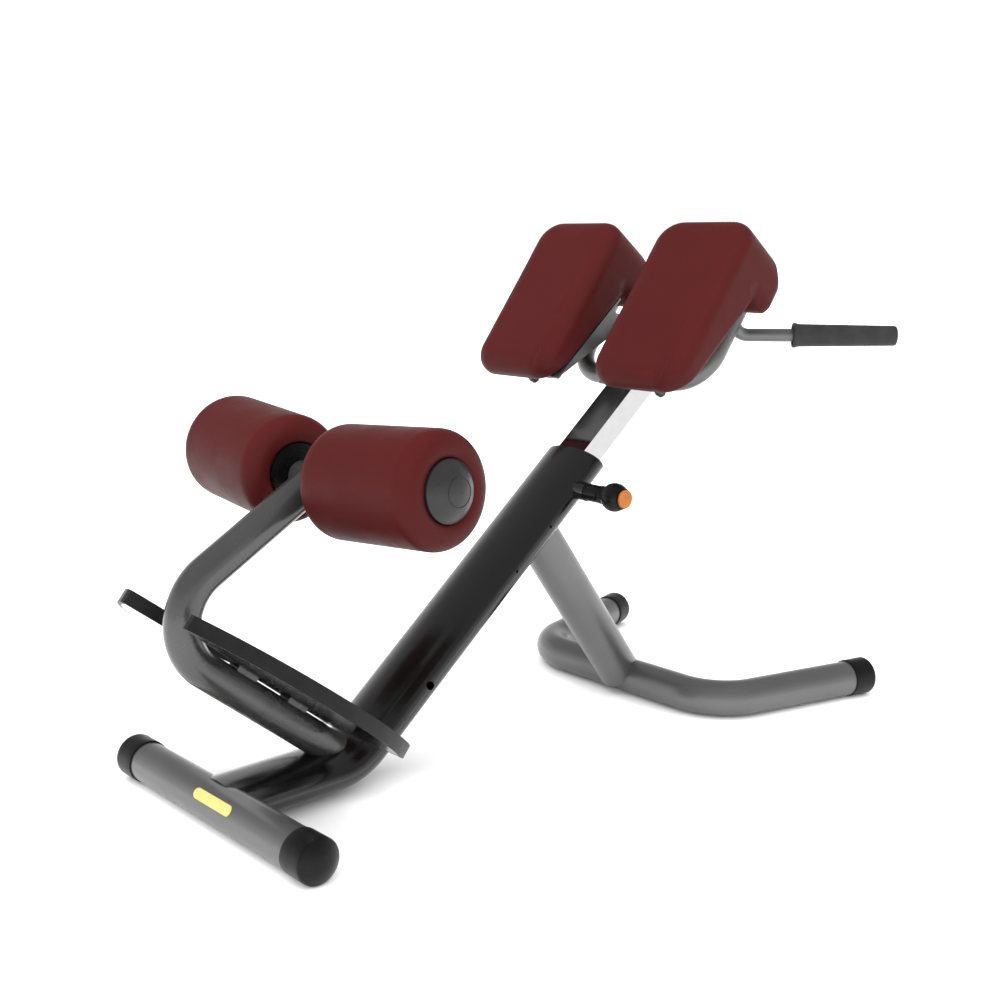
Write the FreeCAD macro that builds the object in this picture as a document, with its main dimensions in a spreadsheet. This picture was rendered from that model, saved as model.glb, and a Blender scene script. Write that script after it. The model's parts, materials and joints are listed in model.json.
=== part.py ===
import FreeCAD, Part
import math
import os
import Sketcher

# Roman chair (45 degree back extension bench).
# Frame: +Z up, floor at z = 0, +X from the foot end towards the thigh pads,
# the plane y = 0 is the plane of symmetry, and the origin is the middle of the footprint.

V = FreeCAD.Vector
X_AXIS = V(1, 0, 0)
Y_AXIS = V(0, 1, 0)
Z_AXIS = V(0, 0, 1)

# Driving dimensions, in millimetres and degrees. Each becomes a cell of the sheet.
DIMENSIONS = {
    # where the front crossbar's axis stands in the frame
    "crossbar_x": -532.1,
    "foot_axis_z": 32.0,
    # round floor tubes
    "floor_tube_radius": 30.0,
    "floor_tube_wall": 3.0,
    "crossbar_length": 394.0,
    "cap_grip": 30.0,
    "cap_radius": 32.5,
    "cap_length": 55.0,
    "cap_round": 12.0,
    # oval main beam
    "beam_half_width": 61.0,
    "beam_half_height": 30.2,
    "beam_wall": 3.0,
    "beam_axis_z": 34.0,
    "beam_low_run": 168.2,
    "beam_bend_radius": 110.0,
    "beam_angle": 39.37,
    "beam_high_run": 592.0,
    "beam_origin_run": 324.8,
    "service_hole_radius": 6.5,
    "vent_hole_radius": 2.2,
    # rear leg and rear foot
    "leg_radius": 36.5,
    "leg_angle": 53.6,
    "rear_centre_x": 824.0,
    "rear_half_run": 139.2,
    "rear_bend_radius": 95.0,
    "rear_bend_angle": 74.2,
    "rear_side_run": 205.0,
    # roller arm
    "arm_radius": 25.0,
    "arm_wall": 3.0,
    "arm_bend_radius": 82.0,
    "arm_upper_angle": 30.33,
    "arm_lower_angle": 39.1,
    "arm_upper_run": 205.7,
    "arm_lower_run": 285.0,
    "axle_x": 175.1,
    "axle_z": 463.9,
    # rollers
    "sleeve_radius": 22.0,
    "sleeve_half_length": 36.0,
    "axle_radius": 8.0,
    "axle_length": 246.0,
    "axle_splay": 4.41,
    "axle_rise": 3.66,
    "roller_start": 49.0,
    "roller_length": 219.0,
    "roller_radius": 81.5,
    "roller_round": 25.0,
    "core_radius": 16.0,
    "hub_radius": 42.0,
    "hub_depth": 14.0,
    "hub_dome": 20.0,
    "running_clearance": 0.05,
    # foot plate
    "plate_tip_x": -84.9,
    "plate_tip_z": 317.3,
    "plate_lobe_radius": 215.0,
    "plate_lobe_offset": 17.0,
    "plate_centre_drop": 203.0,
    "plate_length": 343.0,
    "plate_thickness": 20.0,
    "plate_steel": 4.0,
    "plate_rim": 7.0,
    "notch_half_width": 58.0,
    "notch_depth": 128.0,
    "tip_half_gap": 82.0,
    "tread_corner": 4.5,
    "spacer_width": 24.0,
    "spacer_length": 38.0,
    "first_spacer": 170.0,
    "second_spacer": 272.0,
    # support post
    "post_width": 60.0,
    "post_depth": 40.0,
    "post_wall": 2.5,
    "post_top": 612.0,
    "post_length": 582.0,
    "post_hole_pitch": 35.0,
    "post_hole_radius": 5.5,
    "slide_clearance": 0.3,
    "bushing_length": 70.0,
    # pop pin
    "pin_station": 243.5,
    "pin_radius": 5.0,
    "boss_radius": 15.0,
    "boss_length": 16.0,
    "barrel_radius": 14.0,
    "barrel_length": 28.0,
    "knob_radius": 23.0,
    "knob_disc_radius": 15.0,
    # pads
    "pad_face_x": 751.7,
    "pad_face_z": 700.0,
    "pad_angle": 53.0,
    "pad_inner_y": 43.0,
    "pad_width": 192.0,
    "pad_low": -152.0,
    "pad_top": 164.0,
    "pad_low_thickness": 36.2,
    "pad_crook": 68.0,
    "pad_crook_depth": 87.0,
    "pad_nose_low": 60.0,
    "pad_nose_depth": 140.0,
    "pad_round": 22.0,
    "board_thickness": 15.0,
    "pad_plate_thickness": 4.0,
    "bolt_y": 144.5,
    "low_bolt_run": 37.0,
    "high_bolt_run": 128.0,
    "channel_width": 22.0,
    "channel_depth": 29.0,
    "channel_wall": 2.5,
    "bracket_web": 6.0,
    "saddle_width": 40.0,
    "saddle_half_width": 54.0,
    "saddle_wall": 4.0,
    "gusset_thickness": 5.0,
    # yoke across the post, and handles
    "yoke_radius": 16.0,
    "yoke_wall": 2.5,
    "yoke_bend_radius": 60.3,
    "yoke_station": 498.8,
    "yoke_height": 3.5,
    "yoke_tilt": 13.2,
    "yoke_leg_y": 144.2,
    "yoke_leg_run": 156.0,
    "handle_radius": 11.0,
    "handle_wall": 2.0,
    "handle_side_y": 139.0,
    "handle_drop": -4.0,
    "handle_turn_radius": 24.0,
    "handle_height": 634.4,
    "handle_splay": 47.0,
    "grip_start": 88.0,
    "grip_length": 172.0,
    "grip_root_radius": 19.0,
    "grip_tip_radius": 16.6,
    # fasteners
    "bolt_radius": 4.0,
    "bolt_head_radius": 6.6,
    "bolt_head_height": 5.5,
    "washer_radius": 9.0,
    "washer_thickness": 1.6,
    # blank badge
    "badge_y": -24.9,
    "badge_length": 93.0,
    "badge_height": 15.5,
    "badge_elevation": 144.0,
}

doc = FreeCAD.newDocument("roman_chair")
sheet = doc.addObject("Spreadsheet::Sheet", "dims")
for row, (alias, value) in enumerate(DIMENSIONS.items(), start=1):
    sheet.set(f"A{row}", alias)
    sheet.set(f"B{row}", str(value))
    sheet.setAlias(f"B{row}", alias)
doc.recompute()

exported = []


def dim(alias):
    """The value that a cell of the sheet holds."""
    return float(sheet.get(alias))


def value_of(expression):
    """The number that an expression over the sheet's cells gives."""
    return float(sheet.evalExpression(expression.replace("dims.", "")))


def keep(thing, label):
    """Mark an object as a sub-part, with its own label."""
    thing.Label = label
    exported.append(thing)
    return thing


def bind(thing, **expressions):
    """Bind sizes of an object to expressions over the sheet's cells."""
    for name, expression in expressions.items():
        thing.setExpression(name, expression)
    return thing


def place(position, rotation=FreeCAD.Rotation()):
    return FreeCAD.Placement(position, rotation)


def along(position, direction):
    """A placement at a point, with its own Z along a direction."""
    return place(position, FreeCAD.Rotation(Z_AXIS, direction))


def cylinder(radius, height, placement):
    thing = bind(doc.addObject("Part::Cylinder", "round"), Radius=radius, Height=height)
    thing.Placement = placement
    return thing


def box(length, width, height, placement):
    thing = bind(doc.addObject("Part::Box", "block"), Length=length, Width=width, Height=height)
    thing.Placement = placement
    return thing


def centred_box(length, width, height, frame, centre):
    """A box around a point of a frame, with its sides along the frame's axes."""
    corner = V(centre) - V(value_of(length), value_of(width), value_of(height)) * 0.5
    return box(length, width, height, frame.multiply(place(corner)))


def combine(kind, things):
    whole = doc.addObject(kind, "joined")
    whole.Shapes = things
    return whole


def fuse(things):
    return combine("Part::MultiFuse", things)


def common(things):
    return combine("Part::MultiCommon", things)


def group(things):
    whole = doc.addObject("Part::Compound", "group")
    whole.Links = things
    return whole


def cut(base, tool):
    thing = doc.addObject("Part::Cut", "cut")
    thing.Base = base
    thing.Tool = tool
    return thing


def copy_of(source, placement=FreeCAD.Placement()):
    """A second solid with another sub-part's present shape, used as a cutting tool."""
    doc.recompute()
    thing = doc.addObject("Part::Feature", "copy")
    thing.Shape = source.Shape.copy()
    thing.Placement = placement.multiply(source.Placement)
    return thing


def twin(source):
    """The opposite-handed twin of an object, across y = 0."""
    thing = doc.addObject("Part::Mirroring", "twin")
    thing.Source = source
    thing.Normal = Y_AXIS
    thing.Base = V(0, 0, 0)
    return thing


def mirrored(source, label):
    """Mark the opposite-handed twin of an object as a sub-part."""
    return keep(twin(source), label)


def both_sides(things, label):
    """One sub-part that holds small identical pieces of both sides."""
    return keep(group(things + [twin(thing) for thing in things]), label)


def rounded(base, radius, wanted):
    """Round the edges of an object that a test picks."""
    doc.recompute()
    thing = doc.addObject("Part::Fillet", "rounded")
    thing.Base = base
    size = value_of(radius)
    edges = enumerate(base.Shape.Edges, start=1)
    thing.Edges = [(index, size, size) for index, edge in edges if wanted(edge)]
    return thing


def new_body(name, placement=FreeCAD.Placement()):
    body = doc.addObject("PartDesign::Body", name)
    body.Placement = placement
    return body


def new_sketch(body, role, name):
    """A sketch on one of its body's own origin planes."""
    sketch = body.newObject("Sketcher::SketchObject", name)
    plane = next(item for item in body.Origin.OriginFeatures if item.Role == role)
    sketch.AttachmentSupport = (plane, [""])
    sketch.MapMode = "FlatFace"
    return sketch


def polygon(sketch, corners):
    """A closed outline whose corners are pairs of expressions over the sheet's cells."""
    points = [V(value_of(x), value_of(y), 0) for x, y in corners]
    count = len(points)
    for index in range(count):
        sketch.addGeometry(Part.LineSegment(points[index], points[(index + 1) % count]), False)
    for index in range(count):
        sketch.addConstraint(Sketcher.Constraint("Coincident", index, 2, (index + 1) % count, 1))
    for index, (x, y) in enumerate(corners):
        for kind, expression in (("DistanceX", x), ("DistanceY", y)):
            constraint = Sketcher.Constraint(kind, -1, 1, index, 1, value_of(expression))
            number = sketch.addConstraint(constraint)
            sketch.setExpression(f"Constraints[{number}]", expression)


def prism(name, corners, width, placement, role="XZ_Plane"):
    """A body made by padding an outline equally to both sides of a plane."""
    body = new_body(name, placement)
    sketch = new_sketch(body, role, name + "_outline")
    polygon(sketch, corners)
    pad = body.newObject("PartDesign::Pad", name + "_pad")
    pad.Profile = sketch
    pad.SideType = "Symmetric"
    bind(pad, Length=width)
    doc.recompute()
    return body


def fillet_body(body, radius, wanted):
    """Round the edges of a body's last feature that a test picks."""
    doc.recompute()
    last = body.Tip
    names = [f"Edge{i}" for i, edge in enumerate(last.Shape.Edges, start=1) if wanted(edge)]
    fillet = body.newObject("PartDesign::Fillet", "fillet")
    fillet.Base = (last, names)
    bind(fillet, Radius=radius)
    doc.recompute()
    return body


def path_sketch(body, role, runs, turns, radius):
    """A path of straight runs joined by tangent arcs, from the body's origin along +X.

    A turn is an angle's expression and +1 for left or -1 for right.
    """
    sketch = new_sketch(body, role, "path")
    bend = value_of(radius)
    point = V(0, 0, 0)
    heading = 0.0
    last = None
    for index, run in enumerate(runs):
        forward = V(math.cos(heading), math.sin(heading), 0)
        end = point + forward * value_of(run)
        line = sketch.addGeometry(Part.LineSegment(point, end), False)
        if last is None:
            sketch.addConstraint(Sketcher.Constraint("Coincident", line, 1, -1, 1))
            sketch.addConstraint(Sketcher.Constraint("Horizontal", line))
        else:
            sketch.addConstraint(Sketcher.Constraint("Tangent", last[0], last[1], line, 1))
        number = sketch.addConstraint(Sketcher.Constraint("Distance", line, value_of(run)))
        sketch.setExpression(f"Constraints[{number}]", run)
        point = end
        if index == len(turns):
            break
        angle, side = turns[index]
        turn = math.radians(value_of(angle))
        normal = V(-math.sin(heading), math.cos(heading), 0) * side
        centre = point + normal * bend
        start = math.atan2(-normal.y, -normal.x)
        circle = Part.Circle(centre, Z_AXIS, bend)
        if side > 0:
            arc = sketch.addGeometry(Part.ArcOfCircle(circle, start, start + turn), False)
            first, second = 1, 2
        else:
            arc = sketch.addGeometry(Part.ArcOfCircle(circle, start - turn, start), False)
            first, second = 2, 1
        sketch.addConstraint(Sketcher.Constraint("Tangent", line, 2, arc, first))
        number = sketch.addConstraint(Sketcher.Constraint("Radius", arc, bend))
        sketch.setExpression(f"Constraints[{number}]", radius)
        heading += turn * side
        point = centre + V(math.cos(start + turn * side), math.sin(start + turn * side), 0) * bend
        last = (arc, second)
    doc.recompute()
    return sketch


def sweep_section(body, path, half_width, half_height, subtract):
    """Sweep an ellipse, or a circle when both halves agree, along the body's path."""
    kind = "PartDesign::SubtractivePipe" if subtract else "PartDesign::AdditivePipe"
    sketch = new_sketch(body, "YZ_Plane", "section")
    wide = value_of(half_width)
    high = value_of(half_height)
    if half_width == half_height:
        sketch.addGeometry(Part.Circle(V(0, 0, 0), Z_AXIS, wide), False)
        sketch.addConstraint(Sketcher.Constraint("Coincident", 0, 3, -1, 1))
        number = sketch.addConstraint(Sketcher.Constraint("Radius", 0, wide))
        sketch.setExpression(f"Constraints[{number}]", half_width)
    else:
        ellipse = Part.Ellipse(V(0, 0, 0), wide, high)
        sketch.addGeometry(ellipse, False)
    pipe = body.newObject(kind, "sweep")
    pipe.Profile = sketch
    pipe.Spine = (path, [f"Edge{i}" for i in range(1, path.GeometryCount + 1)])
    doc.recompute()


def bent_tube(name, placement, role, runs, turns, radius, half_width, half_height, wall):
    """A hollow tube along straight runs and arcs, and the solid bar that fills it."""
    solids = []
    for hollow in (True, False):
        body = new_body(name + ("" if hollow else "_bar"), placement)
        path = path_sketch(body, role, runs, turns, radius)
        sweep_section(body, path, half_width, half_height, False)
        if hollow:
            sweep_section(body, path, f"{half_width} - {wall}", f"{half_height} - {wall}", True)
        solids.append(body)
    return solids


def wire_tube(points, radii, outer_radius, inner_radius):
    """A hollow round tube through points in space, with an arc at each inner point."""
    edges = []
    start = points[0]
    for index, radius in enumerate(radii, start=1):
        corner = points[index]
        arriving = (corner - points[index - 1]).normalize()
        leaving = (points[index + 1] - corner).normalize()
        turn = arriving.getAngle(leaving)
        tangent = radius * math.tan(turn / 2)
        first = corner - arriving * tangent
        second = corner + leaving * tangent
        inward = (leaving - arriving).normalize()
        centre = corner + inward * (radius / math.cos(turn / 2))
        middle = centre - inward * radius
        edges.append(Part.LineSegment(start, first).toShape())
        edges.append(Part.Arc(first, middle, second).toShape())
        start = second
    edges.append(Part.LineSegment(start, points[-1]).toShape())
    spine = Part.Wire(edges)
    direction = (points[1] - points[0]).normalize()
    solids = []
    for radius in (outer_radius, inner_radius):
        ring = Part.Wire([Part.Circle(points[0], direction, radius).toShape()])
        solids.append(spine.makePipeShell([ring], True, False))
    return solids[0].cut(solids[1]), solids[0]


def is_circle_at(height, radius=None):
    """A test for round edges at a height of the global frame."""
    def test(edge):
        if not isinstance(edge.Curve, Part.Circle):
            return False
        if abs(edge.Curve.Center.z - height) > 0.01:
            return False
        return radius is None or abs(edge.Curve.Radius - radius) < 0.01
    return test


# ---------------------------------------------------------------- frames
crossbar_x = dim("crossbar_x")


def at(x, y, z):
    """A point given from the front crossbar's axis on the floor."""
    return V(crossbar_x + x, y, z)


def tilted(point, angle):
    """A frame whose X rises at an angle from the floor in the plane of symmetry."""
    return place(point, FreeCAD.Rotation(Y_AXIS, -angle))


beam_angle = dim("beam_angle")
beam_tangent = dim("beam_bend_radius") * math.tan(math.radians(beam_angle / 2))
beam_corner = at(dim("beam_low_run") + beam_tangent, 0, dim("beam_axis_z"))
# Stations along the beam are counted from the middle of its upper run.
beam_origin_distance = dim("beam_origin_run")
beam = tilted(beam_corner, beam_angle).multiply(place(V(beam_origin_distance, 0, 0)))
beam_top = beam_tangent + dim("beam_high_run") - beam_origin_distance


# ---------------------------------------------------------------- floor tubes and caps
foot_z = dim("foot_axis_z")


def end_cap(label, mouth, outward):
    """A domed rubber cap over a floor tube's end, with a flat sole on the floor."""
    shell = cylinder("dims.cap_radius", "dims.cap_length", FreeCAD.Placement())
    dome = rounded(shell, "dims.cap_round", is_circle_at(dim("cap_length")))
    seat = cylinder("dims.floor_tube_radius", "dims.cap_grip + 1", place(V(0, 0, -1)))
    hollow = cut(dome, seat)
    hollow.Placement = along(mouth, outward)
    floor = box("200", "200", "40", place(mouth - V(100, 100, foot_z + 40)))
    return keep(cut(hollow, floor), label)


half_bar = dim("crossbar_length") / 2
bar_length = "dims.crossbar_length + dims.cap_grip * 2"
bar_start = along(at(0, -half_bar - dim("cap_grip"), foot_z), Y_AXIS)
bar_solid = cylinder("dims.floor_tube_radius", bar_length, bar_start)
bar_bore = cylinder("dims.floor_tube_radius - dims.floor_tube_wall", bar_length, bar_start)
keep(cut(bar_solid, bar_bore), "front_crossbar")
front_tool = cylinder("dims.floor_tube_radius", bar_length, bar_start)
cap_right = end_cap("front_cap_right", at(0, -half_bar, foot_z), V(0, -1, 0))
mirrored(cap_right, "front_cap_left")

# Rear foot: a wide U of round tube, open towards the rear.
side_angle = 90 - dim("rear_bend_angle")
side_direction = V(math.cos(math.radians(side_angle)), -math.sin(math.radians(side_angle)), 0)
rear_tangent = dim("rear_bend_radius") * math.tan(math.radians(dim("rear_bend_angle") / 2))
rear_corner = at(dim("rear_centre_x"), -dim("rear_half_run") - rear_tangent, foot_z)
rear_end = rear_corner + side_direction * (rear_tangent + dim("rear_side_run") + dim("cap_grip"))
rear_heading = FreeCAD.Rotation(Z_AXIS, 180 - side_angle)
rear_run = "dims.rear_side_run + dims.cap_grip"
rear_foot, rear_bar = bent_tube(
    "rear_foot", place(rear_end, rear_heading), "XY_Plane",
    [rear_run, "dims.rear_half_run * 2", rear_run],
    [("dims.rear_bend_angle", -1), ("dims.rear_bend_angle", -1)], "dims.rear_bend_radius",
    "dims.floor_tube_radius", "dims.floor_tube_radius", "dims.floor_tube_wall")
keep(rear_foot, "rear_foot")
rear_mouth = rear_end - side_direction * dim("cap_grip")
rear_cap_right = end_cap("rear_cap_right", rear_mouth, side_direction)
mirrored(rear_cap_right, "rear_cap_left")

# ---------------------------------------------------------------- main beam
beam_tube, beam_bar = bent_tube(
    "beam_tube", place(at(0, 0, dim("beam_axis_z"))), "XZ_Plane",
    ["dims.beam_low_run", "dims.beam_high_run"], [("dims.beam_angle", 1)],
    "dims.beam_bend_radius", "dims.beam_half_width", "dims.beam_half_height", "dims.beam_wall")
side_rotation = FreeCAD.Rotation(X_AXIS, 90)


def on_side(station, offset, distance):
    """A placement beside the beam, with its Z pointing away from the right side."""
    return beam.multiply(place(V(station, -distance, offset), side_rotation))


pin_hole = cylinder("dims.pin_radius + 3", "40", on_side(dim("pin_station"), 0, 40))
side_holes = [cylinder("dims.service_hole_radius", "40", on_side(-164, 4, 40))]
side_holes += [cylinder("dims.vent_hole_radius", "40", on_side(s, 4, 40)) for s in (-90, 65, 160)]
beam_holed = cut(cut(beam_tube, front_tool), fuse([pin_hole] + side_holes))
keep(beam_holed, "main_beam")

# ---------------------------------------------------------------- rear leg
leg_down = V(math.cos(math.radians(dim("leg_angle"))), 0, -math.sin(math.radians(dim("leg_angle"))))
leg_foot = at(818.5, 0, foot_z)
leg_top = leg_foot - leg_down * 400
leg_place = along(leg_top, leg_down)
leg_outer = cylinder("dims.leg_radius", "392", leg_place)
leg_inner = cylinder("dims.leg_radius - dims.floor_tube_wall", "392", leg_place)
keep(cut(cut(leg_outer, leg_inner), fuse([copy_of(beam_bar), copy_of(rear_bar)])), "rear_leg")

# ---------------------------------------------------------------- roller arm
axle_point = at(dim("axle_x"), 0, dim("axle_z"))
arm_place = place(axle_point, FreeCAD.Rotation(Y_AXIS, 180 - dim("arm_upper_angle")))
arm_turn = "180 - dims.arm_upper_angle - dims.arm_lower_angle"
arm_tube, arm_bar = bent_tube(
    "arm_tube", arm_place, "XZ_Plane",
    ["dims.arm_upper_run", "dims.arm_lower_run"], [(arm_turn, 1)], "dims.arm_bend_radius",
    "dims.arm_radius", "dims.arm_radius", "dims.arm_wall")
sleeve_start = along(axle_point - Y_AXIS * dim("sleeve_half_length"), Y_AXIS)
sleeve_solid = cylinder("dims.sleeve_radius", "dims.sleeve_half_length * 2", sleeve_start)
keep(cut(arm_tube, fuse([copy_of(sleeve_solid), copy_of(beam_bar)])), "roller_arm")


def axle_frame(side):
    """A frame on the axle's centre, with its Z along one roller's axle."""
    splay = math.tan(math.radians(dim("axle_splay")))
    rise = math.tan(math.radians(dim("axle_rise")))
    return along(axle_point, V(splay, side, rise).normalize())


def on_axle(radius, length, start, frame):
    return cylinder(radius, length, frame.multiply(place(V(0, 0, start))))


right = axle_frame(-1)
rod = on_axle("dims.axle_radius", "dims.axle_length", 12, right)
keep(rod, "roller_axle_right")
mirrored(rod, "roller_axle_left")
sleeve_bores = [on_axle("dims.axle_radius", "dims.axle_length", 0, axle_frame(side)) for side in (-1, 1)]
keep(cut(sleeve_solid, fuse(sleeve_bores)), "axle_sleeve")

roller_start = dim("roller_start")
roller_end = roller_start + dim("roller_length")
foam_blank = cylinder("dims.roller_radius", "dims.roller_length", FreeCAD.Placement())
foam_round = rounded(foam_blank, "dims.roller_round", lambda edge: isinstance(edge.Curve, Part.Circle))
foam_round.Placement = right.multiply(place(V(0, 0, roller_start)))
hub_pocket = "dims.hub_depth + 0.3"
foam_tools = [
    on_axle("dims.core_radius", "dims.roller_length + 2", roller_start - 1, right),
    on_axle("dims.hub_radius", hub_pocket, roller_start - 0.3, right),
    on_axle("dims.hub_radius", hub_pocket, roller_end - dim("hub_depth"), right),
]
foam = keep(cut(foam_round, fuse(foam_tools)), "roller_foam_right")
mirrored(foam, "roller_foam_left")

bore = "dims.axle_radius + dims.running_clearance"
core_start = roller_start + dim("hub_depth")
core_length = "dims.roller_length - dims.hub_depth * 2"
core = cut(on_axle("dims.core_radius", core_length, core_start, right),
           on_axle(bore, core_length, core_start, right))
keep(core, "roller_core_right")
mirrored(core, "roller_core_left")

inner_hub = cut(on_axle("dims.hub_radius", "dims.hub_depth", roller_start, right),
                on_axle(bore, "dims.hub_depth", roller_start, right))
keep(inner_hub, "roller_inner_hub_right")
mirrored(inner_hub, "roller_inner_hub_left")

# The outer hub is a dome over the axle's end, hollow behind for the lock nut.
dome_height = dim("hub_dome")
dome_radius = (dim("hub_radius") ** 2 + dome_height ** 2) / (2 * dome_height)
ball = doc.addObject("Part::Sphere", "ball")
ball.Radius = dome_radius
ball.Placement = right.multiply(place(V(0, 0, roller_end + dome_height - dome_radius)))
cap_blank = on_axle("dims.hub_radius", "dims.hub_depth + dims.hub_dome",
                    roller_end - dim("hub_depth"), right)
nut_room = on_axle("dims.core_radius", "dims.hub_depth + 2", roller_end - dim("hub_depth") - 1, right)
outer_hub = cut(common([cap_blank, ball]), nut_room)
keep(outer_hub, "roller_end_cap_right")
mirrored(outer_hub, "roller_end_cap_left")

nut = doc.addObject("Part::Prism", "nut_blank")
nut.Polygon = 6
nut.Circumradius = 13.5
bind(nut, Height="dims.axle_radius")
nut_start = roller_end - dim("hub_depth") + 0.6
nut.Placement = right.multiply(place(V(0, 0, nut_start)))
lock_nut = cut(nut, on_axle("dims.axle_radius", "20", nut_start - 1, right))
both_sides([lock_nut], "axle_nuts")

# ---------------------------------------------------------------- foot plate
# Its frame lies on the steel's underside: X runs down the slope from the two tips.
tip = at(dim("plate_tip_x"), 0, dim("plate_tip_z"))
plate_frame = place(tip, FreeCAD.Rotation(Y_AXIS, dim("arm_lower_angle")))


def lobed_plate(thickness, height, inset):
    """A disc-like plate with two lobes, a straight lower edge and a notch for the arm."""
    lobes = []
    for side in (-1, 1):
        centre = V(dim("plate_centre_drop"), side * dim("plate_lobe_offset"), height)
        lobes.append(cylinder(f"dims.plate_lobe_radius - {inset}", thickness,
                              plate_frame.multiply(place(centre))))
    reach = V(value_of(inset), -300, height - 1)
    window = box(f"dims.plate_length - {inset} * 2", "600", f"({thickness}) + 2",
                 plate_frame.multiply(place(reach)))
    return common([fuse(lobes), window])


def notch(height, inset):
    """A tapered notch with a round end, open at the plate's upper edge."""
    width = dim("notch_half_width") + value_of(inset)
    gap = dim("tip_half_gap") + value_of(inset)
    round_centre = dim("notch_depth") - dim("notch_half_width")
    corners = [("-20", f"{-gap}"), (f"{round_centre}", f"{-width}"),
               (f"{round_centre}", f"{width}"), ("-20", f"{gap}")]
    funnel = prism("notch_funnel", corners, "120", plate_frame, "XY_Plane")
    eye_place = plate_frame.multiply(place(V(round_centre, 0, height - 60)))
    eye = cylinder(f"dims.notch_half_width + {inset}", "120", eye_place)
    return fuse([funnel, eye])


def is_plan_corner(edge):
    """A straight upright edge of the tread, outside the notch."""
    if not isinstance(edge.Curve, Part.Line) or abs(edge.Length - dim("plate_thickness")) > 0.01:
        return False
    return abs(edge.CenterOfMass.y) > dim("notch_half_width") + 12


tread_blank = rounded(cut(lobed_plate("dims.plate_thickness", 0, "0"), notch(0, "0")), "dims.tread_corner", is_plan_corner)
pocket = cut(lobed_plate("dims.plate_steel", 0, "dims.plate_rim"), notch(0, "dims.plate_rim"))
spacer_runs = [dim("first_spacer"), dim("second_spacer")]


def on_spacers(radius, length, start):
    """Cylinders along the plate's two screws, from a height over the steel's underside."""
    return [cylinder(radius, length, plate_frame.multiply(place(V(d, 0, start)))) for d in spacer_runs]


keep(cut(tread_blank, fuse([copy_of(pocket)] + on_spacers("dims.bolt_radius", "60", -20))), "foot_tread")
keep(cut(pocket, fuse(on_spacers("dims.bolt_radius", "60", -20))), "foot_plate")

# Two small blocks on the arm's lower run carry the plate, a screw through each.
spacer_depth = 26
spacers = []
for d in spacer_runs:
    blank = centred_box("dims.spacer_length", "dims.spacer_width", f"{spacer_depth}", plate_frame,
                        V(d, 0, -spacer_depth / 2))
    spacers.append(cut(blank, fuse([copy_of(arm_bar), copy_of(beam_bar)] + on_spacers("dims.bolt_radius", "60", -40))))
keep(group(spacers), "plate_spacers")
screws = []
for shank, head in zip(on_spacers("dims.bolt_radius", "dims.plate_thickness", 0),
                       on_spacers("dims.bolt_head_radius", "3", dim("plate_thickness"))):
    screws.append(fuse([shank, head]))
keep(group(screws), "plate_screws")

# ---------------------------------------------------------------- support post
post_low = dim("post_top") - dim("post_length")
post_centre = V((dim("post_top") + post_low) / 2, 0, 0)
post_outer = centred_box("dims.post_length", "dims.post_width", "dims.post_depth", beam, post_centre)
post_inner = centred_box("dims.post_length + 2", "dims.post_width - dims.post_wall * 2",
                         "dims.post_depth - dims.post_wall * 2", beam, post_centre)
hole_count = 6
first_hole = dim("pin_station") - dim("post_hole_pitch") * (hole_count - 1)
post_holes = [cylinder("dims.post_hole_radius", "12", on_side(first_hole + dim("post_hole_pitch") * i, 0, 24))
              for i in range(hole_count)]
keep(cut(cut(post_outer, post_inner), fuse(post_holes)), "support_post")


def oval_plug(length, station, gap):
    """A solid plug that fits inside the oval beam, less a gap all round."""
    ellipse = doc.addObject("Part::Ellipse", "oval")
    ellipse.MajorRadius = dim("beam_half_width") - dim("beam_wall") - gap
    ellipse.MinorRadius = dim("beam_half_height") - dim("beam_wall") - gap
    ellipse.Placement = beam.multiply(place(V(station, 0, 0), FreeCAD.Rotation(V(1, 1, 1), 120)))
    solid = doc.addObject("Part::Extrusion", "oval_plug")
    solid.Base = ellipse
    solid.DirMode = "Custom"
    solid.Dir = beam.Rotation.multVec(X_AXIS)
    solid.LengthFwd = length
    solid.Solid = True
    return solid


bushing_start = beam_top - dim("bushing_length")
bushing_core = centred_box("200", "dims.post_width + dims.slide_clearance * 2",
                           "dims.post_depth + dims.slide_clearance * 2", beam, V(bushing_start, 0, 0))
upper_bushing = cut(oval_plug(dim("bushing_length"), bushing_start, 0), bushing_core)
pin_gap = cylinder("dims.pin_radius + 3", "60", on_side(dim("pin_station"), 0, 10))
keep(cut(upper_bushing, pin_gap), "guide_bushing")


# The slider closes the post's lower end and steadies it inside the beam.
slider_flange = oval_plug(12, post_low - 12, 0.35)
slider_stem = centred_box("40", "dims.post_width - dims.post_wall * 2",
                          "dims.post_depth - dims.post_wall * 2", beam, V(post_low + 20, 0, 0))
keep(cut(fuse([slider_flange, slider_stem]), copy_of(exported[-2])), "post_slider")
top_flange = centred_box("4", "dims.post_width", "dims.post_depth", beam, V(dim("post_top") + 2, 0, 0))
top_stem = centred_box("24", "dims.post_width - dims.post_wall * 2",
                       "dims.post_depth - dims.post_wall * 2", beam, V(dim("post_top") - 12, 0, 0))
keep(fuse([top_flange, top_stem]), "post_top_plug")

# ---------------------------------------------------------------- pop pin
station = dim("pin_station")
boss_face = dim("beam_half_width") + dim("boss_length")
neck_radius = "dims.pin_radius + 3"
boss_blank = cylinder("dims.boss_radius", "40", on_side(station, 0, boss_face - 40))
boss_tools = fuse([copy_of(beam_bar), cylinder(neck_radius, "60", on_side(station, 0, boss_face - 50))])
keep(cut(boss_blank, boss_tools), "pin_boss")

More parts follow.
